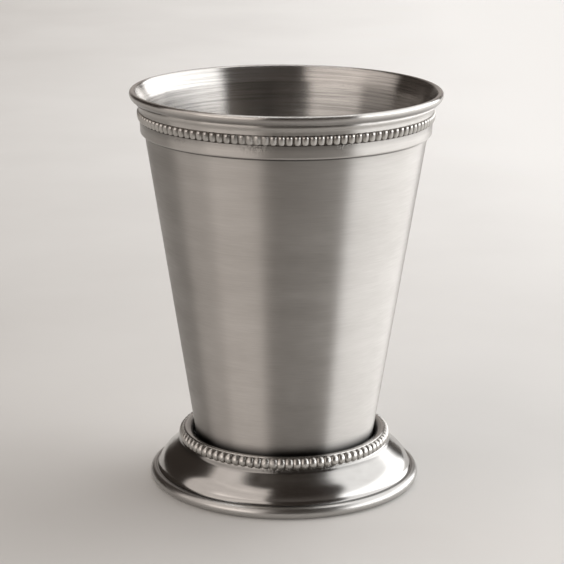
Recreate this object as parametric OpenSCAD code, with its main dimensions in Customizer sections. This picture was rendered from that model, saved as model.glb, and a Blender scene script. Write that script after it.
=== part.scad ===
// Julep cup: a tapered beaker with a rolled lip, a beaded collar round its mouth and a spun, beaded foot.
// Every shell is sheet metal, drawn as the section of the sheet and spun round the axis of the cup.
// Lengths are in millimetres, angles in degrees. The cup stands on z = 0 and its axis is z.

/* [Cup] */
// Height of the whole cup, from the table to the top of the lip
cup_h = 114.5; // [108:0.5:124]
// Diameter of the beaker's base, measured outside and before its corner is rounded
base_d = 50.4; // [46:0.2:54]
// Outer diameter of the beaker where its wall begins to flare
mouth_d = 82.4; // [76:0.2:90]
// How far the rolled lip stands out beyond the wall where the flare begins, on each side
lip_out = 3.05; // [2.9:0.05:3.5]
// Thickness of the beaker's sheet
wall = 0.6; // [0.5:0.05:0.65]
// Radius inside the corner between base and wall
base_corner_r = 3; // [2:0.5:6]

/* [Lip] */
// Depth of the flared mouth, below the top of the lip
flare_drop = 4.8; // [4.4:0.1:5.2]
// Radius of the bend where the wall begins to flare
flare_bend_r = 1.5; // [0.5:0.1:3]
// Radius over the top of the rolled lip
lip_top_r = 0.9; // [0.8:0.05:1]
// Radius of the side of the rolled lip
lip_side_r = 2; // [1.8:0.05:2.2]
// Angle that the side of the lip turns back under itself
lip_wrap = 60; // [50:1:65]

/* [Collar] */
// Height of the collar's lower edge below the top of the lip
collar_drop = 12.2; // [11.6:0.1:14]
// Thickness of the collar at its lower edge
collar_edge_t = 1.15; // [0.9:0.05:1.4]
// Thickness of the collar just under its beading
collar_neck_t = 0.7; // [0.6:0.05:0.8]
// Radius that rounds the collar's lower edge
collar_edge_r = 0.8; // [0.4:0.05:0.85]
// How far the hollow moulding above the beading stands out over the plain face
cavetto_over = 0.2; // [0.1:0.05:0.3]
// Radius of the hollow moulding
cavetto_r = 1.4; // [0.8:0.1:1.6]
// How far the rolled lip stands out over the collar's top edge
lip_over = 0.2; // [0.1:0.05:0.3]

/* [Rim beading] */
// Number of pearls round the rim
rim_pearls = 122; // [90:1:126]
// Depth of the middle of the beading below the top of the lip
rim_beading_drop = 6.95; // [6.8:0.05:7.1]
// Height of the beaded strip
rim_beading_h = 2.8; // [2.5:0.05:2.9]
// Thickness of the strip between the pearls
rim_strip_t = 0.15; // [0.1:0.01:0.2]
// Height of a pearl above the strip
rim_pearl_relief = 0.42; // [0.3:0.02:0.5]
// Thickness that is left of the collar behind the strip
rim_web_t = 0.2; // [0.15:0.01:0.25]

/* [Foot] */
// Diameter over the rolled edge of the foot
foot_d = 78.4; // [74:0.2:84]
// Diameter of the rolled edge's section
foot_roll_d = 3.6; // [3:0.1:4]
// Height of the foot's collar
foot_h = 15; // [14:0.1:17]
// Thickness of the foot's sheet
foot_wall = 0.8; // [0.6:0.05:0.9]
// Radius over the rolled top of the foot's collar
foot_collar_r = 2; // [1.9:0.05:2.3]
// Gap between the foot's collar and the beaker
well_gap = 0.6; // [0.4:0.05:1.2]
// Clear height under the floor of the foot
floor_lift = 7.9; // [6:0.1:8.5]
// Radius in the corner of the well
well_corner_r = 1.2; // [0.6:0.1:1.6]
// Height between the lower edge of the beading and the neck
neck_drop = 1; // [0.7:0.05:1.3]
// How far the skirt goes outwards between the beading and the neck
neck_out = 0.45; // [0.3:0.05:0.6]
// Radius of the neck
neck_r = 2; // [1:0.1:2.5]
// Radius of the bell-shaped skirt
bell_r = 9; // [4:0.5:9]
// Depth of the flat land that the rolled edge is levelled to
land_depth = 0.08; // [0.04:0.01:0.15]

/* [Foot beading] */
// Number of pearls round the foot
foot_pearls = 84; // [60:1:87]
// Angle of the beading above the level of the collar's middle
foot_beading_tilt = 17; // [14:0.5:20]
// Length of the beaded strip, measured across the row
foot_beading_h = 3.4; // [3:0.05:3.5]
// Thickness of the strip between the pearls
foot_strip_t = 0.15; // [0.1:0.01:0.2]
// Height of a pearl above the strip
foot_pearl_relief = 0.35; // [0.2:0.05:0.4]
// Depth of the channel that the strip lies in
foot_channel_depth = 0.3; // [0.2:0.05:0.35]

/* [Solder] */
// Thickness of the ring of solder under the beaker
solder_t = 0.3; // [0.1:0.05:0.5]
// Inner diameter of the ring of solder
solder_inner_d = 26; // [10:1:34]
// Width of the ring of solder
solder_w = 7; // [3:0.5:7.5]
// Gap that is left between pieces that seat on each other
seat_gap = 0.05; // [0.02:0.01:0.1]

/* [Hidden] */
$fn = 128;

// The largest angle between two points of a bend
bend_step = 6;

// Colours of the metals
steel = [0.66, 0.64, 0.61];
polished_steel = [0.62, 0.6, 0.58];
solder_grey = [0.52, 0.52, 0.53];

// Shares of half a pearl, across it and along it, at which its round is measured, and the powers of that round
across_shares = [1, 0.5, 0, 0.5];
rim_along_shares = [-1, -0.7, 0, 0.7, 1];
foot_along_shares = [-1, -0.85, -0.45, 0, 0.45, 0.85, 1];
pearl_powers = [2.2, 2.6];
// Straight parts that follow the round back of the foot's strip
back_parts = 4;

// Shares of the way from the neck to the crease of the foot, outwards and down, at which the skirt turns over
skirt_shoulder_shares = [0.776, 0.552];
// Angles round the foot's rolled edge, from straight up towards the axis: the crease, and the end of the curl
crease_turn = 10;
curl_end_turn = 56;
// Directions in a section, straight up and towards the axis, and a full turn
straight_up = atan2(1, 0);
inward = 2 * straight_up;
full_turn = 2 * inward;

// Levels and radii that the pieces share
floor_top = floor_lift + foot_wall;
base_z = floor_top + solder_t;
flare_z = cup_h - flare_drop;
collar_z = cup_h - collar_drop;
rim_beading_z = cup_h - rim_beading_drop;
taper = (mouth_d - base_d) / 2 / (flare_z - base_z);
taper_angle = atan(taper);
foot_collar_z = foot_h - foot_collar_r;
well_r = body_r(foot_collar_z) + well_gap;
foot_collar_mid_r = well_r + foot_collar_r;
foot_roll_r = foot_roll_d / 2;
foot_roll_mid = [foot_d / 2 - foot_roll_r, foot_roll_r - land_depth];
lip_d = mouth_d + 2 * lip_out;

// Outer radius of the beaker's straight wall at height z, and the radius inside it
function body_r(z) = base_d / 2 + (z - base_z) * taper;
function bore_r(z) = body_r(z) - wall / cos(taper_angle);

// Plane vectors: unit length, quarter turn to the left, and turn by an angle
function unit(v) = v / norm(v);
function left(v) = [-v[1], v[0]];
function turned(v, a) = [v[0] * cos(a) - v[1] * sin(a), v[0] * sin(a) + v[1] * cos(a)];
function angle_between(u, v) = atan2(u[0] * v[1] - u[1] * v[0], u * v);

// A path is a list of [point, normal], and the normal points to the left of the way along it.
// Bend of radius r at a corner, from direction u to direction v
function bend(corner, u, v, r) =
    let (a = angle_between(u, v),
         side = sign(a),
         start = corner - u * r * tan(abs(a) / 2),
         mid = start + left(u) * r * side,
         n = max(1, ceil(abs(a) / bend_step)))
    [for (i = [0 : n]) let (m = turned(left(u), a * i / n)) [mid - m * r * side, m]];

// Straight runs through corners, each corner given as [r, z, bend radius]
function run(corners) =
    let (p = [for (c = corners) [c[0], c[1]]],
         last = len(p) - 1,
         u = [for (i = [0 : last - 1]) unit(p[i + 1] - p[i])])
    [[p[0], left(u[0])],
     for (i = [1 : last - 1]) each bend(p[i], u[i - 1], u[i], corners[i][2]),
     [p[last], left(u[last - 1])]];

// Point of a path at an angle round a middle, and the arc clockwise from a to b without its first point
function at_angle(mid, r, a) = [mid + r * [cos(a), sin(a)], [cos(a), sin(a)]];
function curl(mid, r, a, b) =
    let (n = ceil((a - b) / bend_step))
    [for (i = [1 : n]) at_angle(mid, r, a + (b - a) * i / n)];

// The points of a path, and the same points moved to its right by a distance
function points(path) = [for (p = path) p[0]];
function offset_points(path, t) = [for (p = path) p[0] - p[1] * t];
function reversed(list) = [for (i = [len(list) - 1 : -1 : 0]) list[i]];
function rest(list) = [for (i = [1 : len(list) - 1]) list[i]];

// Section of a sheet of thickness t that lies to the right of a path
module sheet(path, t)
    polygon(concat(points(path), reversed(offset_points(path, t))));

// Middle of the bend over the lip, and of its wider side
lip_top_mid = [lip_d / 2 - lip_top_r, cup_h - lip_top_r];
lip_side_mid = [lip_d / 2 - lip_side_r, cup_h - lip_top_r];
lip_end = lip_side_mid + lip_side_r * [cos(lip_wrap), -sin(lip_wrap)];
collar_top_z = lip_end[1] - seat_gap;

// Corner where the flare begins, and the point where its straight run touches the bend over the lip
flare_corner = [bore_r(flare_z), flare_z];
flare_reach = lip_top_mid - flare_corner;
flare_angle = atan2(flare_reach[1], flare_reach[0]) + asin(lip_top_r / norm(flare_reach));
flare_touch = lip_top_mid + lip_top_r * [-sin(flare_angle), cos(flare_angle)];
// Point of the flare's inner face at height z
function flare_at(z) = flare_corner + [cos(flare_angle), sin(flare_angle)] * (z - flare_z) / sin(flare_angle);

// Inner face of the beaker from the middle of its base, over the lip and down its outside
beaker_path = concat(
    run([[0, base_z + wall, 0],
         [bore_r(base_z + wall), base_z + wall, base_corner_r],
         [flare_corner[0], flare_corner[1], flare_bend_r],
         [flare_touch[0], flare_touch[1], 0]]),
    curl(lip_top_mid, lip_top_r, flare_angle + straight_up, 0),
    curl(lip_side_mid, lip_side_r, 0, -lip_wrap));

// Drawn beaker: flat base, tapered wall, flared mouth and a lip rolled outwards and down
module beaker()
    color(steel) rotate_extrude() sheet(beaker_path, wall);

// Inner face of the beaker behind the collar, from the collar's lower edge to its top edge
collar_back = run([[bore_r(collar_z), collar_z, 0],
                   [flare_corner[0], flare_corner[1], flare_bend_r],
                   [flare_at(collar_top_z)[0], flare_at(collar_top_z)[1], 0]]);
collar_seat = offset_points(collar_back, wall + seat_gap);

// Radius of the collar's plain face at height z, between its lower edge and its beading
collar_neck_z = rim_beading_z - rim_beading_h / 2;
collar_edge_face = body_r(collar_z) + collar_edge_t;
collar_neck_face = body_r(collar_neck_z) + collar_neck_t;
collar_slope = (collar_neck_face - collar_edge_face) / (collar_neck_z - collar_z);
function collar_face(z) = collar_edge_face + (z - collar_z) * collar_slope;

cavetto_z = rim_beading_z + rim_beading_h / 2;
cavetto_mid_z = (cavetto_z + collar_top_z) / 2 - cavetto_over;

// Floor of the collar's channel at height z: it runs along the beaker's wall
function rim_floor(z) = body_r(z) + seat_gap + rim_web_t;

// Collar: plain band with a rounded lower edge, a channel for the beading and a hollow moulding under the lip
collar_front = concat(
    run([[lip_end[0] - lip_over, collar_top_z, 0],
         [collar_face(cavetto_mid_z) + cavetto_over, cavetto_mid_z, cavetto_r],
         [collar_face(cavetto_z) + cavetto_over, cavetto_z, 0]]),
    run([[rim_floor(cavetto_z), cavetto_z, 0], [rim_floor(collar_neck_z), collar_neck_z, 0]]),
    run([[collar_face(collar_neck_z), collar_neck_z, 0],
         [collar_face(collar_z), collar_z, collar_edge_r],
         [collar_seat[0][0], collar_seat[0][1], 0]]));
module rim_collar()
    color(steel) rotate_extrude() polygon(concat(rest(collar_seat), points(collar_front)));

// Round of a pearl, from 0 at its edge to 1 at its top, at shares u across it and v along it
function pearl_round(u, v) = sqrt(max(0, 1 - pow(abs(u), pearl_powers[0]) - pow(abs(v), pearl_powers[1])));

// Beaded strip: the path of its face and the points of its back make the section, and the face swells into
// pearls on its way round the axis. The shares along a pearl belong to the points of the face
module beaded_strip(face, along_shares, back, pearls, relief)
    let (parts = len(across_shares),
         columns = pearls * parts,
         k = len(face) + len(back),
         section = [for (u = across_shares) concat(
             [for (i = [0 : len(face) - 1])
                 face[i][0] + face[i][1] * relief * pearl_round(u, along_shares[i])], back)])
    polyhedron(
        [for (c = [0 : columns - 1], p = section[c % parts])
            let (turn = c * full_turn / columns) [p[0] * cos(turn), p[0] * sin(turn), p[1]]],
        [for (c = [0 : columns - 1], i = [0 : k - 1])
            let (a = c * k, b = (c + 1) % columns * k, j = (i + 1) % k)
            each [[a + i, b + i, b + j], [a + i, b + j, a + j]]]);

// Face of the rim's strip from its lower edge to its upper edge, along the floor of the channel, and its back
rim_strip_half = rim_beading_h / 2 - seat_gap;
rim_strip_face = [for (v = rim_along_shares) let (z = rim_beading_z + v * rim_strip_half)
    [[rim_floor(z) + seat_gap + rim_strip_t, z], [cos(taper_angle), -sin(taper_angle)]]];
rim_strip_back = [for (v = [1, -1]) let (z = rim_beading_z + v * rim_strip_half)
    [rim_floor(z) + seat_gap, z]];

// Rim beading: a strip in the collar's channel with a row of upright pearls
module rim_beading()
    color(polished_steel)
        beaded_strip(rim_strip_face, rim_along_shares, rim_strip_back, rim_pearls, rim_pearl_relief);

// Middle of the foot's round collar, half the angle round it that the beading takes up, and its channel
foot_collar_mid = [foot_collar_mid_r, foot_collar_z];
foot_beading_half = foot_beading_h / 2 / foot_collar_r * inward / PI;
seat_turn = seat_gap / foot_collar_r * inward / PI;
channel_top = foot_beading_tilt + foot_beading_half;
channel_foot = foot_beading_tilt - foot_beading_half;
channel_r = foot_collar_r - foot_channel_depth;

// Face of the foot from the middle of its floor up the well, over the collar and down to the crease
crease_angle = straight_up + crease_turn;
crease = at_angle(foot_roll_mid, foot_roll_r, crease_angle)[0];
collar_foot = at_angle(foot_collar_mid, foot_collar_r, channel_foot)[0];
neck = collar_foot + [neck_out, -neck_drop];
shoulder = [neck[0] + (crease[0] - neck[0]) * skirt_shoulder_shares[0],
            neck[1] + (crease[1] - neck[1]) * skirt_shoulder_shares[1]];
curl_end_angle = straight_up + curl_end_turn - full_turn;
foot_well = run([[0, floor_top, 0], [well_r, floor_top, well_corner_r], [well_r, foot_collar_z, 0]]);
foot_skirt = run([[collar_foot[0], collar_foot[1], 0], [neck[0], neck[1], neck_r],
                  [shoulder[0], shoulder[1], bell_r], [crease[0], crease[1], 0]]);
foot_roll = curl(foot_roll_mid, foot_roll_r, crease_angle, curl_end_angle);
foot_collar = curl(foot_collar_mid, foot_collar_r, inward, channel_foot);
foot_back = offset_points(concat(foot_well, foot_collar, foot_skirt, foot_roll), foot_wall);

// Front of the foot's round collar with the channel for its beading
foot_collar_front = concat(
    curl(foot_collar_mid, foot_collar_r, inward, channel_top),
    [at_angle(foot_collar_mid, channel_r, channel_top)],
    curl(foot_collar_mid, channel_r, channel_top, channel_foot),
    [foot_skirt[0]]);

// Foot: one spun shell, levelled flat where it stands
function levelled(p) = [p[0], max(0, p[1])];
foot_section = concat(points(foot_well), points(foot_collar_front), points(rest(foot_skirt)),
                      points(foot_roll), reversed(foot_back));
module foot()
    color(polished_steel) rotate_extrude() polygon([for (p = foot_section) levelled(p)]);

// Face of the foot's strip from its lower to its upper edge, round the floor of the channel, and its back
foot_strip_half = foot_beading_half - seat_turn;
foot_strip_face = [for (v = foot_along_shares)
    at_angle(foot_collar_mid, channel_r + seat_gap + foot_strip_t, foot_beading_tilt + v * foot_strip_half)];
foot_strip_back = [for (v = [1 : -2 / back_parts : -1])
    at_angle(foot_collar_mid, channel_r + seat_gap, foot_beading_tilt + v * foot_strip_half)[0]];

// Foot beading: a strip in the foot's channel with a row of pearls that lie across the collar's round
module foot_beading()
    color(polished_steel)
        beaded_strip(foot_strip_face, foot_along_shares, foot_strip_back, foot_pearls, foot_pearl_relief);

// Ring of solder between the floor of the foot and the beaker's base
module foot_solder()
    color(solder_grey) translate([0, 0, floor_top]) difference() {
        cylinder(d = solder_inner_d + 2 * solder_w, h = solder_t);
        translate([0, 0, -solder_t]) cylinder(d = solder_inner_d, h = 3 * solder_t);
    }

beaker();
rim_collar();
rim_beading();
foot();
foot_beading();
foot_solder();
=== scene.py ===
"""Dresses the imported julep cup: its shells, its two strips of pearls, their metals, and a plain studio.

Every surface is worked out round the cup's axis, z, and stands on z = 0. The classes hold their sizes in
millimetres and the meshes are made in metres. Angles are in degrees.
"""

import logging
import math
from dataclasses import dataclass, field
from enum import Enum

import bpy
import numpy as np
from mathutils import Matrix, Vector


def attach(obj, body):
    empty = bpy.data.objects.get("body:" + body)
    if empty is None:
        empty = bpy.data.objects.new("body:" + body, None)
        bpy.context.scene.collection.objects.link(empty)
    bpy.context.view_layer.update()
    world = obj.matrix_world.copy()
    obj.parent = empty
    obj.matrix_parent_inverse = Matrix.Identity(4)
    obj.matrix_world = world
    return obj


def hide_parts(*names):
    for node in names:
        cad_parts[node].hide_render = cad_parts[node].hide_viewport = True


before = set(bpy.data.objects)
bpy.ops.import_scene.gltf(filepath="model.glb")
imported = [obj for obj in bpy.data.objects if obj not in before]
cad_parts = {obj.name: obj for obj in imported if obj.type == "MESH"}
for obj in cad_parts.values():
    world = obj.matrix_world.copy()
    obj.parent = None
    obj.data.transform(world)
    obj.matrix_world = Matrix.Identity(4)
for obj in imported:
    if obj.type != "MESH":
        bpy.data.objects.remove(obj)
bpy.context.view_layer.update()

MM = 0.001
BODY = "root"
BEND_STEP = 6.0  # Degrees between the points of a bend.
LONGEST_FACET = 3.0  # Millimetres along a straight stretch.
COLUMNS = 256  # Round the axis of a spun surface.
WHITE = (1.0, 1.0, 1.0)
WARM = (1.05, 0.965, 0.905)
FLAT = (1.0, 1.0, 0.0)  # Takes a vector's z away.
LOOKS_IN = -0.004  # Below it a face looks at the axis.
LOOKS_OUT = -0.0005  # Above it a face looks outwards, up or down.
QUARTER_TURN = 0.25
NUMBER, VECTOR = "NodeSocketFloat", "NodeSocketVector"
RIM_SEAM, FOOT_SEAM = 258.0, 262.0  # Where the strips are joined.
LOG = logging.getLogger("julep_cup")

Rgb = tuple[float, float, float]
Socket, Piece = bpy.types.NodeSocket, bpy.types.Object
Material, NodeTree = bpy.types.Material, bpy.types.NodeTree


class Slot(Enum):
    """The record's slots for the dressed pieces."""

    BRUSHED = "brushed_metal"
    POLISHED = "polished_metal"


class Ends(Enum):
    """How a section closes when it is spun: into a ring, or on the axis at both of its ends."""

    RING = "ring"
    POLES = "poles"


def rgba(tone: Rgb, share: float = 1.0) -> tuple[float, float, float, float]:
    """A share of a tone, as the opaque colour that a node takes."""
    return *(share * value for value in tone), 1.0


def on_circle(angle: float | np.ndarray) -> np.ndarray:
    """The unit vector at an angle in degrees from the radius, in the half plane of radius and height."""
    a = np.radians(angle)
    return np.stack([np.cos(a), np.sin(a)], axis=-1)


@dataclass(frozen=True)
class Path:
    """A line in the half plane of radius and height. The metal lies on its right, the normals point left."""

    points: np.ndarray
    normals: np.ndarray

    def __add__(self, other: "Path") -> "Path":
        """One path after the other."""
        return Path(np.vstack([self.points, other.points]), np.vstack([self.normals, other.normals]))

    def moved(self, distance: float) -> "Path":
        """The path moved along its normals."""
        return Path(self.points + self.normals * distance, self.normals)

    def back(self, thickness: float) -> "Path":
        """The other face of a sheet, walked the other way."""
        return Path((self.points - self.normals * thickness)[::-1], -self.normals[::-1])

    def trimmed(self) -> "Path":
        """The path without its first point."""
        return Path(self.points[1:], self.normals[1:])

    def levelled(self) -> "Path":
        """The path with what would lie under the table raised to it."""
        return Path(np.maximum(self.points, [0.0, 0.0]), self.normals)


def arc(mid: tuple[float, float] | np.ndarray, radius: float, start: float, end: float) -> Path:
    """An arc about a middle, clockwise from one angle to another."""
    count = max(2, math.ceil((start - end) / BEND_STEP) + 1)
    normals = on_circle(np.linspace(start, end, count))
    return Path(np.asarray(mid) + radius * normals, normals)


def run(*corners: tuple[float, float, float]) -> Path:
    """Straight stretches through corners, each rounded by its own bend radius.

    A bend of radius r touches both stretches at r tan(turn / 2) from its corner. Stretches are divided, so
    that the smooth shading of a bend doesn't creep along them.

    Args:
        corners: Radius, height and bend radius of each corner. The first and the last have no bend.

    Returns:
        The path through them.
    """
    spots = np.array([c[:2] for c in corners], float)
    ways = np.diff(spots, axis=0)
    lengths = np.linalg.norm(ways, axis=1)
    ways /= lengths[:, None]
    path = Path(spots[:1], np.array([[-ways[0, 1], ways[0, 0]]]))
    for i in range(len(ways)):
        normal = np.array([-ways[i, 1], ways[i, 0]])
        stop = spots[i + 1]
        if i + 1 < len(ways):
            after = ways[i + 1]
            turn = math.atan2(ways[i, 0] * after[1] - ways[i, 1] * after[0], float(ways[i] @ after))
            reach = corners[i + 1][2] * math.tan(abs(turn) / 2)
            stop = stop - ways[i] * reach
        length = float(np.linalg.norm(stop - path.points[-1]))
        count = max(1, math.ceil(length / LONGEST_FACET))
        shares = np.linspace(0, 1, count + 1)[1:, None]
        stretch = path.points[-1] + (stop - path.points[-1]) * shares
        path = path + Path(stretch, np.tile(normal, (count, 1)))
        if i + 1 < len(ways) and corners[i + 1][2] > 0:
            side = math.copysign(1.0, turn)
            middle = stop + normal * corners[i + 1][2] * side
            steps = max(2, math.ceil(abs(math.degrees(turn)) / BEND_STEP))
            angles = np.linspace(0, turn, steps + 1)[1:]
            turned = np.stack([normal[0] * np.cos(angles) - normal[1] * np.sin(angles),
                               normal[0] * np.sin(angles) + normal[1] * np.cos(angles)], axis=-1)
            path = path + Path(middle - turned * corners[i + 1][2] * side, turned)
    return path


def sheet_end(path: Path, thickness: float) -> Path:
    """The rounded end of a sheet: half a circle from the end of its face to its back."""
    point, normal = path.points[-1], path.normals[-1]
    start = math.degrees(math.atan2(normal[1], normal[0]))
    half = arc(point - normal * thickness / 2, thickness / 2, start, start - 180)
    return Path(half.points[1:-1], half.normals[1:-1])


def placed(name: str, data: bpy.types.ID) -> Piece:
    """A new object in the scene."""
    made = bpy.data.objects.new(name, data)
    bpy.context.scene.collection.objects.link(made)
    return made


def skin(name: str, turn: np.ndarray, radius: np.ndarray, height: np.ndarray, ends: Ends) -> Piece:
    """A closed surface round the axis, from a grid of columns round it and rows along its section.

    A point lies at (radius cos turn, radius sin turn, height). Faces go along the section first and then
    round the axis, so that they look to the left of the section.

    Args:
        name: Name of the piece.
        turn: Angle round the axis of each grid point, columns by rows.
        radius: Radius of each grid point.
        height: Height of each grid point.
        ends: Whether the rows close on themselves or end on the axis.

    Returns:
        The new object, smooth shaded, at the origin.
    """
    a = np.radians(turn)
    grid = np.stack([radius * np.cos(a), radius * np.sin(a), height], axis=-1) * MM
    columns, rows = radius.shape
    column = np.arange(columns)[:, None]
    beside = (column + 1) % columns
    if ends is Ends.RING:
        row, after = np.arange(rows)[None, :], (np.arange(rows)[None, :] + 1) % rows
        vertices = grid.reshape(-1, 3)
        fans: list[list[int]] = []
    else:
        grid, rows = grid[:, 1:-1], rows - 2
        row, after = np.arange(rows - 1)[None, :], np.arange(1, rows)[None, :]
        first, last = columns * rows, columns * rows + 1
        tips = np.array([[0, 0, height[0, 0]], [0, 0, height[0, -1]]]) * MM
        vertices = np.vstack([grid.reshape(-1, 3), tips])
        start, side = (column * rows)[:, 0], (beside * rows)[:, 0]
        fans = np.stack([np.full(columns, first), start, side], axis=-1).tolist()
        fans += np.stack([start + rows - 1, np.full(columns, last), side + rows - 1], axis=-1).tolist()
    corners = (column * rows + row, column * rows + after, beside * rows + after, beside * rows + row)
    quads = np.stack([c.ravel() for c in np.broadcast_arrays(*corners)], axis=-1)
    mesh = bpy.data.meshes.new(name)
    mesh.from_pydata(vertices.tolist(), [], quads.tolist() + fans)
    mesh.shade_smooth()
    mesh.update()
    return placed(name, mesh)


def spun(name: str, outline: Path, ends: Ends) -> Piece:
    """A section spun round the axis, with the metal on its right."""
    turn = np.arange(COLUMNS)[:, None] * 360.0 / COLUMNS
    shape = np.broadcast_arrays(turn, outline.points[None, :, 0], outline.points[None, :, 1])
    return skin(name, *shape, ends)


def give_attribute(piece: Piece, name: str, values: np.ndarray) -> None:
    """Stores one number per vertex on a piece, for its material to read."""
    layer = piece.data.attributes.new(name, "FLOAT", "POINT")
    layer.data.foreach_set("value", np.ascontiguousarray(values, np.float32).ravel())


def coat(piece: Piece, material: Material) -> None:
    """Makes a material the only one of a piece."""
    piece.data.materials.clear()
    piece.data.materials.append(material)


def dress(piece: Piece, material: Material, slot: Slot, *nodes: str) -> None:
    """Gives a piece its material and body, and lets it stand for its CAD nodes. The slot is not used."""
    coat(piece, material)
    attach(piece, BODY)
    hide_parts(*nodes)
    LOG.info("%s: %d faces, for %s", piece.name, len(piece.data.polygons), ", ".join(nodes))


@dataclass(frozen=True)
class Tree:
    """A node tree that is being built."""

    nodes: bpy.types.Nodes
    links: bpy.types.NodeLinks

    @staticmethod
    def of(owner: Material | bpy.types.World | NodeTree) -> "Tree":
        """The empty tree of a material, a world or a group."""
        tree = owner if isinstance(owner, NodeTree) else owner.node_tree
        tree.nodes.clear()
        return Tree(tree.nodes, tree.links)

    def add(self, kind: str, inputs: dict | None = None, **settings: object) -> bpy.types.Node:
        """Adds a node.

        Args:
            kind: The node's type, without the word ShaderNode.
            inputs: Values or sockets for its inputs, by name or number.
            settings: Properties of the node.

        Returns:
            The node.
        """
        made = self.nodes.new(kind if kind.startswith("NodeGroup") else "ShaderNode" + kind)
        for key, value in settings.items():
            setattr(made, key, value)
        for key, value in (inputs or {}).items():
            if isinstance(value, Socket):
                self.links.new(value, made.inputs[key])
            else:
                made.inputs[key].default_value = value
        return made

    def math(self, operation: str, *values: object, clamp: bool = False) -> Socket:
        """The result of a Math node."""
        return self.add("Math", dict(enumerate(values)), operation=operation, use_clamp=clamp).outputs[0]

    def vector(self, operation: str, *values: object, result: str = "Vector") -> Socket:
        """The result of a Vector Math node, by the name of its output."""
        names = {3: "Scale"} if operation == "SCALE" else {}
        spots = {names.get(i, i): v for i, v in enumerate(values) if v is not None}
        return self.add("VectorMath", spots, operation=operation).outputs[result]

    def mapped(self, value: Socket, *spans: float, smooth: bool = False) -> Socket:
        """A value carried from one span to another: from low, from high, to low, to high."""
        kind = "SMOOTHSTEP" if smooth else "LINEAR"
        return self.add("MapRange", dict(enumerate((value, *spans))), interpolation_type=kind).outputs[0]

    def mix(self, share: object, one: object, other: object) -> Socket:
        """A mix of two colours."""
        return self.add("Mix", {"Factor": share, 6: one, 7: other}, data_type="RGBA").outputs[2]

    def shade(self, inputs: dict) -> None:
        """Ends a material's tree with the shader and its inputs."""
        self.add("OutputMaterial", {"Surface": self.add("BsdfPrincipled", inputs).outputs[0]})

    def place(self) -> Socket:
        """Where a point lies on its object, in metres."""
        return self.add("TexCoord").outputs["Object"]

    def height(self, spot: Socket) -> Socket:
        """The z of a vector."""
        return self.add("SeparateXYZ", {0: spot}).outputs["Z"]

    def normal(self) -> Socket:
        """The way that a face looks."""
        return self.add("NewGeometry").outputs["Normal"]

    def outwards(self, place: Socket) -> Socket:
        """How far a face looks away from the axis: its normal times its place, flattened to x and y."""
        return self.vector("DOT_PRODUCT", self.vector("MULTIPLY", place, FLAT), self.normal(), result="Value")


def new_material(name: str) -> tuple[Material, Tree]:
    """A new material and its empty tree."""
    material = bpy.data.materials.new(name)
    material.use_nodes = True
    return material, Tree.of(material)


Group = tuple[NodeTree, Tree, bpy.types.NodeOutputs, bpy.types.NodeInputs]


def group(name: str, inputs: dict[str, float], outputs: dict[str, str]) -> Group:
    """An empty shader node group with named sockets.

    Args:
        name: Name of the group.
        inputs: Its inputs, all numbers, and their values.
        outputs: Its outputs and their socket types.

    Returns:
        The group, its tree, the sockets that give its inputs, and those that take its outputs.
    """
    made = bpy.data.node_groups.new(name, "ShaderNodeTree")
    for key, value in inputs.items():
        made.interface.new_socket(key, in_out="INPUT", socket_type=NUMBER).default_value = value
    for key, kind in outputs.items():
        made.interface.new_socket(key, in_out="OUTPUT", socket_type=kind)
    tree = Tree.of(made)
    return made, tree, tree.add("NodeGroupInput").outputs, tree.add("NodeGroupOutput").inputs


def turned_lines() -> NodeTree:
    """Fine lines that run round the axis, as a lathe or a brush leaves them.

    The noise is read at (x / r, y / r) times a small number and (z + 0.7 r) times a large one, so it hardly
    changes round the axis and changes fast along any section. Line is the finest of three such noises, Band
    the coarsest, and Scratch lies between them and shows only its peaks.

    Returns:
        The group. Lines is the number of lines per metre, Streak how fast they fade round the axis, Depth
        their height in metres.
    """
    lean, gain, peaks = 0.7, 0.65, (0.42, 0.68)
    made, tree, given, out = group(
        "turned_lines", {"Lines": 2200.0, "Streak": 5.0, "Depth": 0.00001},
        {"Line": NUMBER, "Band": NUMBER, "Scratch": NUMBER, "Normal": VECTOR})
    place = tree.place()
    flat = tree.vector("MULTIPLY", place, FLAT)
    radius = tree.vector("LENGTH", flat, result="Value")
    around = tree.vector("NORMALIZE", flat)
    along = tree.math("MULTIPLY_ADD", radius, lean, tree.height(place))

    def read(share: float, streak: object, detail: float) -> Socket:
        """Noise that is drawn out round the axis, with a share of the lines."""
        lines = tree.math("MULTIPLY", given["Lines"], share)
        wound = tree.vector("SCALE", around, None, None, streak)
        lift = tree.add("CombineXYZ", {2: tree.math("MULTIPLY", along, lines)}).outputs[0]
        spot = tree.vector("ADD", wound, lift)
        noise = tree.add("TexNoise", {"Vector": spot, "Scale": 1.0, "Detail": detail, "Roughness": gain})
        return noise.outputs[0]

    fine = read(share=1.0, streak=given["Streak"], detail=4.0)
    band = read(share=0.06, streak=1.3, detail=2.0)
    scratch = read(share=0.55, streak=1.1, detail=2.0)
    bump = tree.add("Bump", {"Strength": 1.0, "Distance": given["Depth"], "Height": fine})
    tree.links.new(fine, out["Line"])
    tree.links.new(band, out["Band"])
    tree.links.new(tree.mapped(scratch, *peaks, 0.0, 1.0, smooth=True), out["Scratch"])
    tree.links.new(bump.outputs[0], out["Normal"])
    return made


def handled() -> NodeTree:
    """Soft clouds where the metal has been handled and wiped. Scale is their number per metre."""
    detail, span = 3.0, (0.3, 0.7)
    made, tree, given, out = group("handled", {"Scale": 30.0}, {"Cloud": NUMBER})
    noise = tree.add("TexNoise", {"Vector": tree.place(), "Scale": given["Scale"], "Detail": detail})
    tree.links.new(tree.mapped(noise.outputs[0], *span, 0.0, 1.0, smooth=True), out["Cloud"])
    return made


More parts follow.
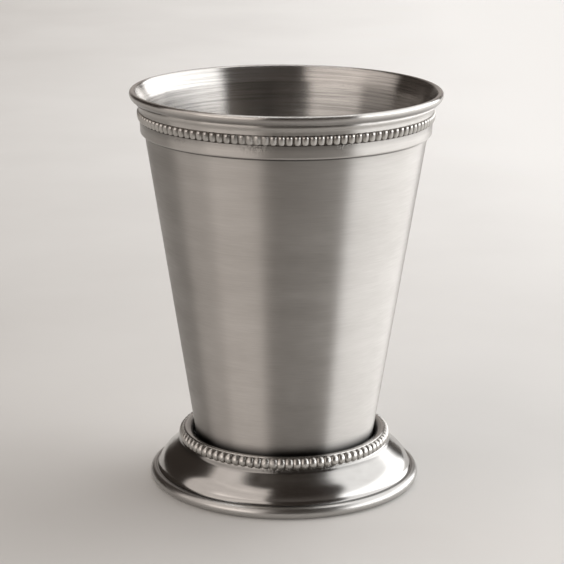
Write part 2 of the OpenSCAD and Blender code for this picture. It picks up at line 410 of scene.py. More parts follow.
def solder_grain() -> NodeTree:
    """Grains and pits of solder, where the piece's own attribute says that some was left.

    Returns:
        The group. Grains is their number per metre, Depth their height in metres.
    """
    detail, span = 2.0, (0.42, 0.62)
    made, tree, given, out = group(
        "solder_grain", {"Grains": 1500.0, "Depth": 0.00008}, {"Mask": NUMBER, "Normal": VECTOR})
    noise = tree.add("TexNoise", {"Vector": tree.place(), "Scale": given["Grains"], "Detail": detail})
    splash = tree.add("Attribute", attribute_name="solder").outputs["Fac"]
    mask = tree.math("MULTIPLY", tree.mapped(noise.outputs[0], *span, 0.0, 1.0, smooth=True), splash)
    bump = tree.add("Bump", {"Strength": 1.0, "Distance": given["Depth"], "Height": mask})
    tree.links.new(mask, out["Mask"])
    tree.links.new(bump.outputs[0], out["Normal"])
    return made


def painted_shade_line() -> NodeTree:
    """Painted shade: a dark line round the cup, where shade falls in creases, under edges and in hollows.

    Returns:
        The group. Level is the height of the painted shade, Above and Below how far the line fades, all in
        metres.
        Side is 1 for faces that look outwards and -1 for those that look at the axis.
    """
    made, tree, given, out = group(
        "painted_shade_line", {"Level": 0.0, "Above": 0.001, "Below": 0.001, "Side": 1.0}, {"Mask": NUMBER})
    place = tree.place()
    height = tree.math("SUBTRACT", tree.height(place), given["Level"])
    above = tree.math("DIVIDE", tree.math("MAXIMUM", height, 0.0), given["Above"])
    drop = tree.math("MAXIMUM", tree.math("MULTIPLY", height, -1.0), 0.0)
    below = tree.math("DIVIDE", drop, given["Below"])
    near = tree.mapped(tree.math("ADD", above, below), 0.0, 1.0, 1.0, 0.0, smooth=True)
    facing = tree.math("MULTIPLY", tree.outwards(place), given["Side"])
    faces = tree.math("GREATER_THAN", facing, LOOKS_OUT)
    tree.links.new(tree.math("MULTIPLY", near, faces), out["Mask"])
    return made


@dataclass(frozen=True)
class Effects:
    """The node groups that the finishes share."""

    lines: NodeTree = field(default_factory=turned_lines)
    cloud: NodeTree = field(default_factory=handled)
    grain: NodeTree = field(default_factory=solder_grain)
    shade_line: NodeTree = field(default_factory=painted_shade_line)


@dataclass(frozen=True)
class PaintedShade:
    """A band of painted shade round the cup: its height and how far its line fades, in millimetres.

    The share says how dark the line is. The side is 1 for faces that look outwards and -1 for those that
    look at the axis. Either is also drawn on faces that look along the axis.
    """

    level: float
    above: float
    below: float
    share: float = 1.0
    side: float = 1.0


@dataclass(frozen=True)
class TurnedMetal:
    """Metal that was brushed or polished on a lathe.

    It is worn from the tone to the dull tone along its lines and in clouds. Where it is soldered, the
    attribute solder says how thick the grains lie. Above smooth_above, and on every face that looks at the
    axis, it has its smooth roughness, and those faces are scratched too. Its bands of painted shade darken it
    where shade falls round the cup. Shades are shares of the dull tone.
    """

    name: str
    tone: Rgb
    dull_tone: Rgb
    roughness: float
    line_depth: float
    lines: float = 2600.0
    roughness_spread: float = 0.03
    anisotropy: float = 1.0
    soldered: bool = False
    joints: tuple[PaintedShade, ...] = ()
    smooth_above: float | None = None
    smooth_roughness: float = 0.2
    scratched: float = 0.0
    line_wear: float = 0.5
    band_wear: float = 0.36
    cloud_wear: float = 0.14
    wear_span: tuple[float, float] = (0.35, 0.65)
    scratch_shade: float = 0.25
    grain_cover: float = 0.5
    grain_shade: float = 0.15
    grain_roughness: float = 0.25
    painted_shade_share: float = 0.1

    def build(self, effects: Effects) -> Material:
        """Makes the material.

        Args:
            effects: The shared node groups.

        Returns:
            The material.
        """
        material, tree = new_material(self.name)
        lines = tree.add("Group", {"Lines": self.lines, "Depth": self.line_depth}, node_tree=effects.lines)
        cloud = tree.add("Group", node_tree=effects.cloud)
        wear = tree.math("MULTIPLY", lines.outputs["Line"], self.line_wear)
        wear = tree.math("MULTIPLY_ADD", lines.outputs["Band"], self.band_wear, wear)
        wear = tree.math("MULTIPLY_ADD", cloud.outputs["Cloud"], self.cloud_wear, wear)
        colour = tree.mix(tree.mapped(wear, *self.wear_span, 0.0, 1.0), rgba(self.tone), rgba(self.dull_tone))
        rough = tree.mapped(wear, *self.wear_span, self.roughness - self.roughness_spread,
                            self.roughness + self.roughness_spread)
        if self.smooth_above is not None:
            colour, rough = self.smoothed(tree, lines.outputs["Scratch"], colour, rough)
        normal = lines.outputs["Normal"]
        if self.soldered:
            grain = tree.add("Group", node_tree=effects.grain)
            rough = tree.math("MULTIPLY_ADD", grain.outputs["Mask"], self.grain_roughness, rough, clamp=True)
            cover = tree.math("MULTIPLY", grain.outputs["Mask"], self.grain_cover)
            colour = tree.mix(cover, colour, rgba(self.dull_tone, self.grain_shade))
            turned = tree.vector("SUBTRACT", grain.outputs["Normal"], tree.normal())
            normal = tree.vector("NORMALIZE", tree.vector("ADD", normal, turned))
        # Painted shade: each band darkens the colour towards a share of the dull tone.
        for shade_line in self.joints:
            line = tree.add("Group", {"Level": shade_line.level * MM, "Above": shade_line.above * MM,
                                      "Below": shade_line.below * MM, "Side": shade_line.side}, node_tree=effects.shade_line)
            share = tree.math("MULTIPLY", line.outputs["Mask"], shade_line.share)
            colour = tree.mix(share, colour, rgba(self.dull_tone, self.painted_shade_share))
        tree.shade({"Base Color": colour, "Metallic": 1.0, "Roughness": rough, "Normal": normal,
                    "Anisotropic": self.anisotropy, "Anisotropic Rotation": QUARTER_TURN})
        return material

    def smoothed(self, tree: Tree, scratch: Socket, colour: Socket, rough: Socket) -> tuple[Socket, Socket]:
        """The colour and roughness, smooth in the mouth and on faces that look in, scratched on those."""
        place = tree.place()
        high = tree.math("GREATER_THAN", tree.height(place), self.smooth_above * MM)
        inside = tree.math("LESS_THAN", tree.outwards(place), LOOKS_IN)
        smooth = tree.math("MAXIMUM", inside, high)
        rough = tree.math("MULTIPLY_ADD", smooth, self.smooth_roughness - self.roughness, rough)
        worn = tree.math("MULTIPLY", tree.math("MULTIPLY", inside, scratch), self.scratched)
        return tree.mix(worn, colour, rgba(self.dull_tone, self.scratch_shade)), rough


@dataclass(frozen=True)
class BeadMetal:
    """Metal of the strips of pearls: bright on the pearls, darker and dull in the recesses between them,
    where the dark colour is painted shade with some patina.
    """

    name: str
    tone: Rgb
    recess_shade_tone: Rgb
    roughness: float
    recess_roughness: float
    clouds: float = 160.0
    cloud_dirt: float = 0.12
    recess_shade_and_patina: float = 0.9
    grain_roughness: float = 0.2

    def build(self, effects: Effects) -> Material:
        """Makes the material with the shared node groups."""
        material, tree = new_material(self.name)
        recess = tree.add("Attribute", attribute_name="recess").outputs["Fac"]
        cloud = tree.add("Group", {"Scale": self.clouds}, node_tree=effects.cloud)
        grain = tree.add("Group", node_tree=effects.grain)
        # Painted shade with some patina in the recesses, and clouds of real dirt.
        shade_and_dirt = tree.math("MULTIPLY", recess, self.recess_shade_and_patina)
        shade_and_dirt = tree.math("MULTIPLY_ADD", cloud.outputs["Cloud"], self.cloud_dirt, shade_and_dirt, clamp=True)
        colour = tree.mix(shade_and_dirt, rgba(self.tone), rgba(self.recess_shade_tone))
        rough = tree.mapped(shade_and_dirt, 0.0, 1.0, self.roughness, self.recess_roughness)
        rough = tree.math("MULTIPLY_ADD", grain.outputs["Mask"], self.grain_roughness, rough, clamp=True)
        tree.shade({"Base Color": colour, "Metallic": 1.0, "Roughness": rough,
                    "Normal": grain.outputs["Normal"]})
        return material


@dataclass(frozen=True)
class Sizes:
    """The sizes that more than one piece follows."""

    height: float = 114.5
    base_d: float = 50.4
    mouth_d: float = 82.4
    lip_d: float = 88.5
    wall: float = 0.6
    flare_drop: float = 4.8
    flare_bend: float = 1.5
    lip_top_r: float = 0.9
    lip_side_r: float = 2.0
    lip_wrap: float = 60.0
    floor_top: float = 8.7
    solder: float = 0.3
    seat: float = 0.05

    @property
    def base_z(self) -> float:
        """Height of the beaker's base."""
        return self.floor_top + self.solder

    @property
    def flare_z(self) -> float:
        """Height where the wall begins to flare."""
        return self.height - self.flare_drop

    @property
    def taper(self) -> float:
        """Growth of the wall's radius for each unit of height."""
        return (self.mouth_d - self.base_d) / 2 / (self.flare_z - self.base_z)

    def wall_r(self, z: float | np.ndarray) -> float | np.ndarray:
        """Outer radius of the beaker's straight wall at a height."""
        return self.base_d / 2 + (z - self.base_z) * self.taper

    def bore_r(self, z: float) -> float:
        """Inner radius of the beaker's straight wall at a height."""
        return self.wall_r(z) - self.wall * math.hypot(1.0, self.taper)

    @property
    def lip_mid(self) -> np.ndarray:
        """Middle of the bend over the lip."""
        return np.array([self.lip_d / 2 - self.lip_top_r, self.height - self.lip_top_r])

    @property
    def lip_side_mid(self) -> np.ndarray:
        """Middle of the wider bend of the lip's side."""
        return np.array([self.lip_d / 2 - self.lip_side_r, self.height - self.lip_top_r])

    @property
    def flare_angle(self) -> float:
        """Slope of the flare in degrees: its face touches the bend over the lip."""
        reach = self.lip_mid - [self.bore_r(self.flare_z), self.flare_z]
        lean = math.asin(self.lip_top_r / float(np.linalg.norm(reach)))
        return math.degrees(math.atan2(reach[1], reach[0]) + lean)

    @property
    def lip_end(self) -> np.ndarray:
        """End of the rolled lip's face."""
        return self.lip_side_mid + self.lip_side_r * on_circle(-self.lip_wrap)

    def flare_at(self, z: float) -> tuple[float, float]:
        """Point of the flare's inner face at a height."""
        return self.bore_r(self.flare_z) + (z - self.flare_z) / math.tan(math.radians(self.flare_angle)), z


@dataclass(frozen=True)
class Beaker:
    """The tapered cup with its flared mouth and rolled lip."""

    sizes: Sizes
    corner_r: float = 3.0

    def build(self) -> Piece:
        """Makes the shell: the face from the middle of the floor over the lip, its end, and the back."""
        s = self.sizes
        floor = s.base_z + s.wall
        touch = s.lip_mid + s.lip_top_r * on_circle(s.flare_angle + 90)
        face = run((0, floor, 0), (s.bore_r(floor), floor, self.corner_r),
                   (s.bore_r(s.flare_z), s.flare_z, s.flare_bend), (*touch, 0))
        face = face + arc(s.lip_mid, s.lip_top_r, s.flare_angle + 90, 0).trimmed()
        face = face + arc(s.lip_side_mid, s.lip_side_r, 0, -s.lip_wrap).trimmed()
        shell = face + sheet_end(face, s.wall) + face.back(s.wall)
        return spun("beaker_shell", shell, Ends.POLES)


@dataclass(frozen=True)
class RimCollar:
    """The band round the mouth: plain face, channel for the pearls, hollow moulding under the lip."""

    sizes: Sizes
    drop: float = 12.2
    edge_t: float = 1.15
    neck_t: float = 0.7
    edge_r: float = 0.8
    cavetto_over: float = 0.2
    cavetto_r: float = 1.4
    lip_over: float = 0.05
    beading_drop: float = 6.95
    beading_h: float = 2.8
    web: float = 0.2
    corner_r: float = 0.06

    @property
    def beading_z(self) -> float:
        """Height of the middle of the beading."""
        return self.sizes.height - self.beading_drop

    def face_r(self, z: float) -> float:
        """Radius of the plain face at a height."""
        low, high = self.sizes.height - self.drop, self.beading_z - self.beading_h / 2
        ends = self.sizes.wall_r(low) + self.edge_t, self.sizes.wall_r(high) + self.neck_t
        return ends[0] + (z - low) * (ends[1] - ends[0]) / (high - low)

    def channel_r(self, z: float | np.ndarray) -> float | np.ndarray:
        """Radius of the channel's floor at a height."""
        return self.sizes.wall_r(z) + self.sizes.seat + self.web

    def build(self) -> Piece:
        """Makes the band as a ring, clockwise: up its seat, over its top and down its face."""
        s = self.sizes
        low, top = s.height - self.drop, s.lip_end[1] - s.seat
        neck, cavetto = self.beading_z - self.beading_h / 2, self.beading_z + self.beading_h / 2
        middle = (cavetto + top) / 2 - self.cavetto_over
        seat = run((s.bore_r(low), low, 0), (s.bore_r(s.flare_z), s.flare_z, s.flare_bend),
                   (*s.flare_at(top), 0)).moved(-(s.wall + s.seat))
        seat = Path(seat.points, -seat.normals)
        tiny = self.corner_r
        front = run((s.lip_end[0] - self.lip_over, top, 0),
                    (self.face_r(middle) + self.cavetto_over, middle, self.cavetto_r),
                    (self.face_r(cavetto) + self.cavetto_over, cavetto, tiny),
                    (self.channel_r(cavetto), cavetto, tiny), (self.channel_r(neck), neck, tiny),
                    (self.face_r(neck), neck, tiny), (self.face_r(low), low, self.edge_r),
                    (seat.points[0, 0], seat.points[0, 1], 0))
        return spun("rim_collar_band", seat + front, Ends.RING)


@dataclass(frozen=True)
class Strip:
    """A strip with a row of pearls, laid in a channel and soldered end to end.

    The pearls are relief high and fill width_share of their pitch and face_share of the strip's height.
    Their places, widths and heights differ by jitter. Solder drowns about seam_pearls of them on either side
    of seam_turn. The painted shade in the recesses is end_depth as dark at the strip's edges as along its
    middle.
    """

    name: str
    pearls: int
    relief: float
    width_share: float
    face_share: float
    waist_power: float
    end_depth: float
    seam_turn: float
    seam_pearls: float
    jitter: float
    seed: int
    dome_power: float = 0.62
    thickness: float = 0.15
    across: int = 9
    along: int = 15
    half_span: tuple[float, float] = (0.5, 0.985)
    shift_share: float = 0.6
    uneven_share: float = 0.5
    drowned_share: float = 0.2
    fill_share: float = 0.25
    recess_share: float = 0.4

    def rows(self) -> np.ndarray:
        """Where the face's points lie over its height, from -1 to 1: its edges and the pearls between."""
        pearl = np.sin(np.linspace(-0.5, 0.5, self.along) * math.pi) * self.face_share
        return np.concatenate([[-1], pearl, [1]])

    def build(self, face: Path, back: np.ndarray) -> Piece:
        """Makes the strip.

        Along a pearl the shares v run from -1 to 1. Its half width there is width_share sqrt(1 - |v| **
        waist_power) of half the pitch, and across it the shares u run from -1 to 1 of that. Its height is
        relief ((1 - u u) (1 - |v| ** waist_power)) ** dome_power. One more column lies between two pearls.

        Args:
            face: The face of the strip from its lower to its upper edge, with a point for each of its rows.
            back: Radius and height of the back's points, from its upper to its lower edge.

        Returns:
            The new object, with the attributes recess and solder.
        """
        rng = np.random.default_rng(self.seed)
        rows = len(face.points)
        v = np.zeros(rows)
        v[1:-1] = np.linspace(-1, 1, rows - 2)
        length = np.clip(1 - np.abs(v) ** self.waist_power, 0, 1)
        waist = np.sqrt(length)
        waist[[0, -1]] = 0
        u = np.sin(np.linspace(-0.5, 0.5, self.across) * math.pi)
        pitch = 360.0 / self.pearls
        centres = (np.arange(self.pearls) + 0.5) * pitch + self.seam_turn
        size = 1 + self.jitter * rng.standard_normal(self.pearls)
        shift = self.shift_share * self.jitter * rng.standard_normal(self.pearls)
        half = np.clip(self.width_share * size, *self.half_span)
        spot = u[None, :, None] * waist * half[:, None, None] + shift[:, None, None]
        spot = np.concatenate([spot, np.ones((self.pearls, 1, rows))], axis=1)
        turn = (centres[:, None, None] + spot * pitch / 2).reshape(-1, rows)
        width = np.append(np.clip(1 - u ** 2, 0, 1), 0.0)
        dome = (width[:, None] * length) ** self.dome_power
        dome[:, [0, -1]] = 0
        lump = self.seam_lump(centres, pitch)
        uneven = 1 + self.uneven_share * self.jitter * rng.standard_normal(self.pearls)
        tall = self.relief * (1 - self.drowned_share * lump) * uneven
        rise = (dome[None] * tall[:, None, None]).reshape(-1, rows)
        solder = np.repeat(lump, len(width))[:, None]
        fill = solder * self.relief * self.fill_share * np.sqrt(np.clip(1 - v ** 2, 0, 1))
        fill[:, [0, -1]] = 0
        rise = np.maximum(rise, fill)
        out = face.points[None] + face.normals[None] * rise[..., None]
        radius, height = (np.hstack([out[..., i], np.tile(back[:, i], (len(out), 1))]) for i in (0, 1))
        turns = np.hstack([turn, np.repeat(turn[:, :1], len(back), axis=1)])
        piece = skin(self.name, turns[:, ::-1], radius[:, ::-1], height[:, ::-1], Ends.RING)
        # The attribute recess marks where painted shade, with some patina, darkens the recesses between the
        # pearls.
        deep = np.clip(1 - rise / (self.recess_share * self.relief), 0, 1)
        deep = deep * (self.end_depth + (1 - self.end_depth) * (1 - v ** 4))
        deep = np.hstack([deep, np.ones((len(deep), len(back)))])
        give_attribute(piece, "recess", deep[:, ::-1])
        give_attribute(piece, "solder", solder * np.ones(turns.shape))
        return piece

    def seam_lump(self, centres: np.ndarray, pitch: float) -> np.ndarray:
        """How far each pearl is drowned in the solder where the strip's ends meet, a bell curve about the
        seam.
        """
        away = (centres - self.seam_turn + 180) % 360 - 180
        return np.exp(-(away / (self.seam_pearls * pitch)) ** 2)


@dataclass(frozen=True)
class Foot:
    """The spun foot: floor, well, round collar with its channel, bell skirt and rolled edge."""

    sizes: Sizes
    diameter: float = 78.4
    roll_r: float = 1.8
    collar_top: float = 15.0
    wall: float = 0.8
    collar_r: float = 2.0
    well_gap: float = 0.6
    well_corner_r: float = 1.2
    neck_drop: float = 1.0
    neck_out: float = 0.45
    neck_r: float = 2.0
    bell_r: float = 9.0
    shoulder_shares: tuple[float, float] = (0.776, 0.552)
    crease_turn: float = 10.0
    curl_end_turn: float = 56.0
    land: float = 0.08
    tilt: float = 17.0
    beading_h: float = 3.4
    channel: float = 0.3

    @property
    def collar_mid(self) -> np.ndarray:
        """Middle of the round collar."""
        level = self.collar_top - self.collar_r
        return np.array([self.sizes.wall_r(level) + self.well_gap + self.collar_r, level])

    @property
    def channel_span(self) -> tuple[float, float]:
        """Angles round the collar where the channel begins and ends."""
        half = math.degrees(self.beading_h / 2 / self.collar_r)
        return self.tilt - half, self.tilt + half

    def build(self) -> Piece:
        """Makes the shell from the middle of its floor to its curled edge, and back along its other face."""
        mid, deep = self.collar_mid, self.collar_r - self.channel
        low, high = self.channel_span
        roll = np.array([self.diameter / 2 - self.roll_r, self.roll_r - self.land])
        crease = roll + self.roll_r * on_circle(90 + self.crease_turn)
        well_r, floor = mid[0] - self.collar_r, self.sizes.floor_top
        collar_foot = mid + self.collar_r * on_circle(low)
        neck = collar_foot + [self.neck_out, -self.neck_drop]
        shoulder = neck + (crease - neck) * self.shoulder_shares
        well = run((0, floor, 0), (well_r, floor, self.well_corner_r), (well_r, mid[1], 0))
        skirt = run((*collar_foot, 0), (*neck, self.neck_r), (*shoulder, self.bell_r), (*crease, 0))
        curl = arc(roll, self.roll_r, 90 + self.crease_turn, 90 + self.curl_end_turn - 360)
        collar = arc(mid, self.collar_r, 180, high) + arc(mid, deep, high, low)
        face = well + collar + skirt + curl
        plain = well + arc(mid, self.collar_r, 180, low) + skirt + curl
        shell = (face + sheet_end(face, self.wall) + plain.back(self.wall)).levelled()
        return spun("foot_shell", shell, Ends.POLES)


@dataclass(frozen=True)
class Splash:
    """Solder left on a piece: where it is round the axis, how far it spreads there, and how much it is."""

    turn: float
    spread: float
    amount: float


class Cup:
    """The whole cup: its sub-assemblies and their finishes."""

    def __init__(self) -> None:
        """Takes the sizes and makes the finishes."""
        self.sizes = Sizes()
        self.collar = RimCollar(self.sizes)
        self.foot = Foot(self.sizes)
        effects = Effects()
        flare, edge = self.sizes.flare_z, self.sizes.height - self.collar.drop
        neck = self.collar.beading_z - self.collar.beading_h / 2
        under_lip, in_well, well_mouth, under_strip, crease = 112.3, 13.6, 14.6, 11.4, 3.57
        steel, dull = (0.61, 0.592, 0.57), (0.53, 0.512, 0.49)
        # Painted shade on the beaker: under the collar's lower edge, where it goes into the foot's well, over
        # the inside below the flare, and under the lip.
        self.brushed = TurnedMetal(
            "brushed_metal", steel, dull, roughness=0.42, line_depth=0.000012,
            smooth_above=flare, smooth_roughness=0.24, scratched=0.34,
            joints=(PaintedShade(edge - 0.12, 0.5, 0.45), PaintedShade(in_well, 4.5, 20.0),
                    PaintedShade(flare, 0.5, 2000.0, 0.15, -1.0), PaintedShade(under_lip, 1.3, 0.6, 0.5))).build(effects)
        # Painted shade on the band: at its lower edge and under its pearls.
        self.banded = TurnedMetal(
            "brushed_band_metal", steel, dull, roughness=0.32, line_depth=0.00001, soldered=True,
            joints=(PaintedShade(edge, 0.35, 0.5, 0.9), PaintedShade(neck, 0.3, 2.0, 0.3))).build(effects)
        # Painted shade on the foot: in the crease above the roll, on the well's inner wall, and under its
        # strip of pearls.
        self.polished = TurnedMetal(
            "polished_metal", (0.53, 0.52, 0.505), (0.46, 0.45, 0.435), roughness=0.3, line_depth=0.000004,
            lines=1800.0, anisotropy=0.5, soldered=True, smooth_above=crease, smooth_roughness=0.17,
            joints=(PaintedShade(crease, 0.2, 0.16, 0.9), PaintedShade(well_mouth, 0.6, 20.0, 0.85, -1.0),
                    PaintedShade(under_strip, 0.6, 1.3, 0.5))).build(effects)
        self.beaded = BeadMetal("bead_metal", (0.57, 0.555, 0.53), (0.125, 0.11, 0.097),
                                roughness=0.28, recess_roughness=0.5).build(effects)
        self.solder = TurnedMetal(
            "solder_metal", (0.5, 0.5, 0.5), (0.35, 0.35, 0.35), roughness=0.55, line_depth=0.00003,
            lines=500.0, roughness_spread=0.1, anisotropy=0.0).build(effects)

    def rim_strip(self) -> Piece:
        """Makes the beading of the rim, which lies along the sloping floor of the collar's channel."""
        s, c = self.sizes, self.collar
        strip = Strip("rim_pearls", pearls=122, relief=0.75, width_share=0.97, face_share=0.95,
                      waist_power=2.2, end_depth=0.9, seam_turn=RIM_SEAM, seam_pearls=2.4,
                      jitter=0.04, seed=7)
        half = c.beading_h / 2 - s.seat
        z = c.beading_z + strip.rows() * half
        slope = np.array([1.0, -s.taper]) / math.hypot(1.0, s.taper)
        points = np.stack([c.channel_r(z) + s.seat + strip.thickness, z], axis=-1)
        ends = c.beading_z + np.array([1, -1]) * half
        back = np.stack([c.channel_r(ends) + s.seat, ends], axis=-1)
        return strip.build(Path(points, np.tile(slope, (len(z), 1))), back)

    def foot_strip(self) -> Piece:
        """Makes the beading of the foot, which lies round the collar's channel."""
        s, f = self.sizes, self.foot
        strip = Strip("foot_pearls", pearls=84, relief=0.5, width_share=0.99, face_share=0.96,
                      waist_power=2.0, end_depth=0.3, seam_turn=FOOT_SEAM, seam_pearls=0.6,
                      jitter=0.03, seed=11)
        back_points = 5
        low, high = f.channel_span
        gap = math.degrees(s.seat / f.collar_r)
        angles = (low + high) / 2 + strip.rows() * ((high - low) / 2 - gap)
        floor = f.collar_r - f.channel + s.seat
        normals = on_circle(angles)
        back = f.collar_mid + floor * on_circle(np.linspace(angles[-1], angles[0], back_points))
        return strip.build(Path(f.collar_mid + (floor + strip.thickness) * normals, normals), back)

    def build(self) -> None:
        """Makes and dresses every piece."""
        dress(Beaker(self.sizes).build(), self.brushed, Slot.BRUSHED, "beaker")
        band = self.collar.build()
        self.splash(band, [Splash(RIM_SEAM, 6.5, 1.0), Splash(226.0, 4.0, 0.6), Splash(291.0, 4.0, 0.5)],
                    level=self.collar.beading_z - 1.9, spread=1.0)
        dress(band, self.banded, Slot.BRUSHED, "rim_collar")
        dress(self.rim_strip(), self.beaded, Slot.POLISHED, "rim_beading")
        foot = self.foot.build()
        self.splash(foot, [Splash(272.0, 22.0, 0.45)], level=11.6, spread=0.6)
        dress(foot, self.polished, Slot.POLISHED, "foot")
        dress(self.foot_strip(), self.beaded, Slot.POLISHED, "foot_beading")
        coat(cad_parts["foot_solder"], self.solder)
        LOG.info("foot_solder: kept, with its own finish")

    @staticmethod
    def splash(piece: Piece, spots: list[Splash], level: float, spread: float) -> None:
        """Stores where solder was left on a piece: bell curves round the axis and over the height.

        Args:
            piece: The object.
            spots: The splashes.
            level: Height of the splashes' middle.
            spread: How far they spread over the height.
        """
        count = len(piece.data.vertices)
        place = np.empty(count * 3, np.float32)
        piece.data.vertices.foreach_get("co", place)
        x, y, z = place.reshape(-1, 3).T / MM
        turn = np.degrees(np.arctan2(y, x))
        amount = np.zeros(count)
        for spot in spots:
            away = (turn - spot.turn + 180) % 360 - 180
            amount += spot.amount * np.exp(-(away / spot.spread) ** 2)
        give_attribute(piece, "solder", amount * np.exp(-((z - level) / spread) ** 2))


@dataclass(frozen=True)
class Panel:
    """A soft panel of light in the surroundings, between two azimuths and two elevations.

    The azimuth is 0 towards the viewer and grows to the viewer's right. The edges fade over soft degrees
    either way. For each degree up, both sides come in by narrowing and the panel leans to the right by lean.
    """

    start: float
    end: float
    low: float
    high: float
    radiance: float
    tint: Rgb
    soft: float = 4.0
    narrowing: float = 0.0
    lean: float = 0.0

    def light(self, tree: Tree, way: Socket) -> Socket:
        """Adds the panel to the world's nodes.

        Args:
            tree: The world's nodes.
            way: The direction that is looked in.

        Returns:
            The panel's light in that direction, as a colour.
        """
        middle, half = math.radians((self.start + self.end) / 2), math.radians((self.end - self.start) / 2)
        low, high, soft = math.radians(self.low), math.radians(self.high), math.radians(self.soft)
        x, y = math.sin(middle), -math.cos(middle)
        ahead = tree.vector("DOT_PRODUCT", way, (x, y, 0.0), result="Value")
        aside = tree.vector("DOT_PRODUCT", way, (-y, x, 0.0), result="Value")
        height = tree.math("ARCSINE", tree.height(way))
        up = tree.math("MAXIMUM", height, 0.0)
        away = tree.math("MULTIPLY_ADD", up, -self.lean, tree.math("ARCTAN2", aside, ahead))
        away = tree.math("MULTIPLY_ADD", up, self.narrowing, tree.math("ABSOLUTE", away))
        lit = tree.mapped(away, half + soft, half - soft, 0.0, self.radiance, smooth=True)
        for edge, fade in ((low, soft), (high, -soft)):
            share = tree.mapped(height, edge - fade, edge + fade, 0.0, 1.0, smooth=True)
            lit = tree.math("MULTIPLY", lit, share)
        return tree.vector("SCALE", self.tint, None, None, lit)


@dataclass(frozen=True)
class Floor:
    """The plain pale floor, a flat disc just below the cup. Its radius and its spans are in metres.

    Its colour is painted light: it goes from shade to tone over a span of its slope, a sum of shares of x and
    y with a little noise, a painted falloff of light towards the left and the front. In what the cup mirrors,
    it ends in a painted dark front, a painted reflection of the shade in front of the cup.
    """

    radius: float = 6.0
    drop: float = 0.02
    corners: int = 96
    tone: Rgb = (0.95, 0.945, 0.93)
    shade: Rgb = (0.53, 0.51, 0.485)
    slope: tuple[float, float] = (0.8, 0.3)
    slope_end: float = 0.5
    slope_span: tuple[float, float] = (-0.11, 0.25)
    patches: float = 9.0
    patch_detail: float = 4.0
    patch_share: float = 0.1
    # Painted reflection: a dark front that rays other than the camera's see, standing in for the shade in
    # front of the cup.
    front: Rgb = (0.125, 0.11, 0.096)
    front_span: tuple[float, float] = (-0.36, -0.2)
    roughness: float = 0.6
    glow: float = 0.1

    def build(self) -> None:
        """Makes the floor and gives it to the stage."""
        turns = np.linspace(0, 2 * math.pi, self.corners, endpoint=False)
        rim = np.stack([np.cos(turns), np.sin(turns), np.zeros_like(turns)], axis=-1) * self.radius
        rim[:, 2] = -self.drop * MM
        mesh = bpy.data.meshes.new("floor")
        mesh.from_pydata(rim.tolist(), [], [list(range(len(rim)))])
        mesh.materials.append(self.paint())
        placed("floor", mesh)

    def paint(self) -> Material:
        """Makes the floor's material."""
        material, tree = new_material("floor_paint")
        place = tree.place()
        noise = tree.add("TexNoise", {"Vector": place, "Scale": self.patches, "Detail": self.patch_detail})
        spot = tree.add("SeparateXYZ", {0: place}).outputs
        # Painted light: the floor's colour falls off towards the left and the front, as the light does.
        slope = tree.math("MULTIPLY", tree.math("MINIMUM", spot["Y"], self.slope_end), self.slope[1])
        slope = tree.math("MULTIPLY_ADD", spot["X"], self.slope[0], slope)
        patch = tree.math("SUBTRACT", noise.outputs[0], 0.5)
        slope = tree.math("MULTIPLY_ADD", patch, self.patch_share, slope)
        share = tree.mapped(slope, *self.slope_span, 0.0, 1.0)
        colour = tree.mix(share, rgba(self.shade), rgba(self.tone))
        ray = tree.add("LightPath").outputs
        # Painted reflection: rays other than the camera's see the floor end in the dark front.
        near = tree.mapped(spot["Y"], *self.front_span, 0.0, 1.0, smooth=True)
        colour = tree.mix(tree.math("MAXIMUM", near, ray["Is Camera Ray"]), rgba(self.front), colour)
        seen = tree.math("MAXIMUM", ray["Is Camera Ray"], ray["Is Glossy Ray"])
        seen = tree.math("MAXIMUM", seen, ray["Is Transmission Ray"])
        tree.shade({"Base Color": colour, "Roughness": self.roughness, "Emission Color": colour,
                    "Emission Strength": tree.math("MULTIPLY", seen, self.glow)})
        return material


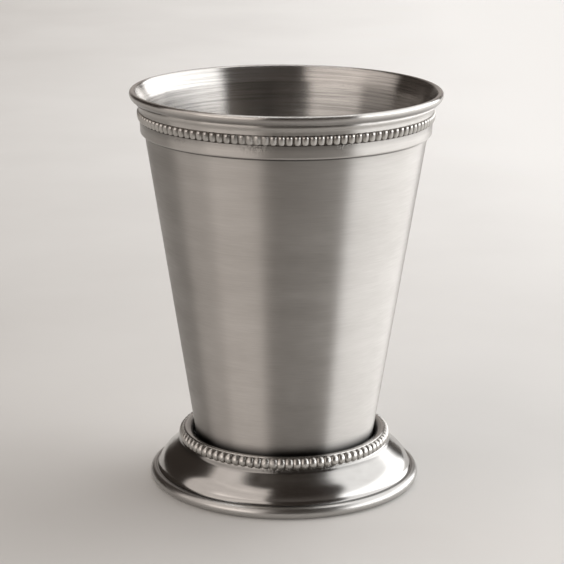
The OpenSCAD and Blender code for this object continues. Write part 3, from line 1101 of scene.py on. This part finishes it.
@dataclass(frozen=True)
class Studio:
    """The camera, the floor and the surroundings, whose soft panels are the light. Places are in metres."""

    eye: tuple[float, float, float] = (0.0, -0.5801, 0.2130)
    aim: tuple[float, float, float] = (-0.00092, 0.0, 0.0582)
    roll: float = 0.33
    focal: float = 132.9
    sensor: float = 36.0
    dim: Rgb = (0.045, 0.036, 0.03)
    panels: tuple[Panel, ...] = (
        Panel(54.0, 146.0, -2.0, 26.0, 3.45, WHITE, soft=5.0),
        Panel(29.0, 173.0, 26.0, 68.0, 1.5, WHITE, narrowing=0.6, lean=0.33),
        Panel(-100.0, -21.5, 0.0, 51.5, 0.78, WARM, soft=3.0, narrowing=-0.12),
        Panel(-66.0, -22.0, -2.0, 24.0, 0.95, WARM, soft=6.0),
        Panel(-118.0, -20.0, 50.5, 67.0, 0.82, WARM, soft=3.0),
        Panel(-25.0, 58.0, 20.0, 34.0, 0.09, WARM, soft=6.0),
        Panel(160.0, 200.0, 0.0, 60.0, 0.4, WARM, soft=8.0),
        Panel(105.0, 255.0, 64.0, 84.0, 2.7, WHITE),
    )

    def build(self) -> None:
        """Makes everything that isn't the cup."""
        self.make_camera()
        Floor().build()
        self.make_world()
        bpy.context.scene.view_settings.view_transform = "Standard"

    def make_camera(self) -> None:
        """Places the camera as the photograph was taken, with its slight roll."""
        data = bpy.data.cameras.new("camera")
        data.sensor_width, data.lens = self.sensor, self.focal
        camera = placed("camera", data)
        way = Vector(self.aim) - Vector(self.eye)
        turn = way.to_track_quat("-Z", "Y").to_matrix() @ Matrix.Rotation(math.radians(self.roll), 3, "Z")
        camera.matrix_world = Matrix.Translation(self.eye) @ turn.to_4x4()
        bpy.context.scene.camera = camera

    def make_world(self) -> None:
        """Makes the surroundings: dim all round, with the panels of light."""
        world = bpy.data.worlds.new("studio")
        world.use_nodes = True
        bpy.context.scene.world = world
        tree = Tree.of(world)
        way = tree.add("TexCoord").outputs["Generated"]
        total = self.panels[0].light(tree, way)
        for panel in self.panels[1:]:
            total = tree.vector("ADD", total, panel.light(tree, way))
        shader = tree.add("Background", {"Color": tree.vector("ADD", total, self.dim), "Strength": 1.0})
        LOG.info("world: %d panels", len(self.panels))
        tree.add("OutputWorld", {"Surface": shader.outputs[0]})


def main() -> None:
    """Builds the cup and the studio round it."""
    logging.basicConfig(level=logging.INFO, format="%(name)s: %(message)s")
    Studio().build()
    Cup().build()


if __name__ == "__main__":
    main()
